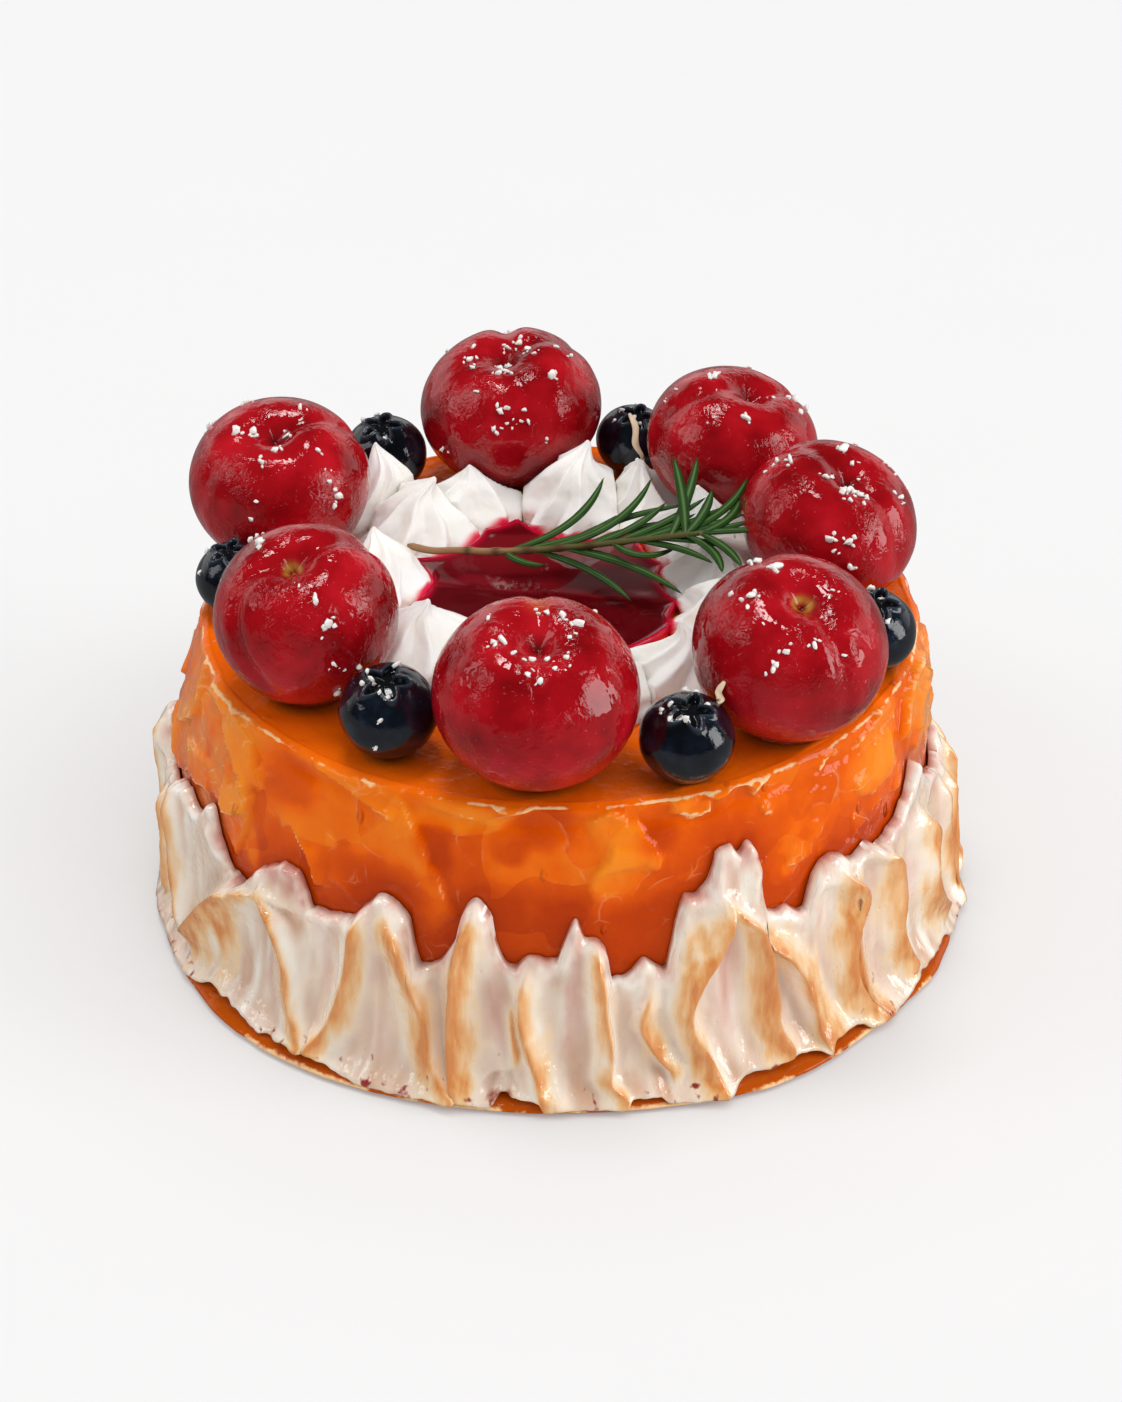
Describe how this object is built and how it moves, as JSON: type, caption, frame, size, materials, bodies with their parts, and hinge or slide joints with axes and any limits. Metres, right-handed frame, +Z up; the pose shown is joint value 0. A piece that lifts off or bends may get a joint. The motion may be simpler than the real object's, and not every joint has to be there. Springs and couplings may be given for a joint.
{
  "type": "mousse cake",
  "caption": "Petit round mousse cake with orange glaze, a toasted meringue skirt, glazed cherries and blueberries round whipped cream and red sauce, and a rosemary sprig.",
  "frame": {"origin": "centre of the flat base, on the surface that the cake stands on", "axes": "+Z up; -Y is the front, the side that the pictured view faces; +X to its right"},
  "size_m": [0.1205, 0.1209, 0.07],
  "materials": {
    "orange_glaze": "glossy orange fruit glaze spread with a knife over mousse, darker and smooth on top",
    "toasted_meringue": "soft white meringue, satin, toasted golden brown along its ridges",
    "cherry_skin": "deep crimson fruit skin under a clear uneven glaze, with sugar grains",
    "blueberry_skin": "blue-black berry skin under a clear glaze, with sugar grains",
    "whipped_cream": "off-white piped cream with soft ribs",
    "red_sauce": "mirror-smooth deep red fruit gel",
    "rosemary": "dark green needles with a paler midrib on a woody brown stem"
  },
  "bodies": {
    "root": {"cake_body": "orange_glaze", "meringue_skirt": "toasted_meringue", "sauce_pool": "red_sauce", "rosemary_sprig": "rosemary", "cherry_1": "cherry_skin", "cherry_2": "cherry_skin", "cherry_3": "cherry_skin", "cherry_4": "cherry_skin", "cherry_5": "cherry_skin", "cherry_6": "cherry_skin", "cherry_7": "cherry_skin", "blueberry_1": "blueberry_skin", "blueberry_2": "blueberry_skin", "blueberry_3": "blueberry_skin", "blueberry_4": "blueberry_skin", "blueberry_5": "blueberry_skin", "blueberry_6": "blueberry_skin", "cream_dollop_1": "whipped_cream", "cream_dollop_2": "whipped_cream", "cream_dollop_3": "whipped_cream", "cream_dollop_4": "whipped_cream", "cream_dollop_5": "whipped_cream", "cream_dollop_6": "whipped_cream", "cream_dollop_7": "whipped_cream", "cream_dollop_8": "whipped_cream", "cream_dollop_9": "whipped_cream", "cream_dollop_10": "whipped_cream", "cream_dollop_11": "whipped_cream", "cream_dollop_12": "whipped_cream", "cream_dollop_13": "whipped_cream"}
  },
  "joints": []
}
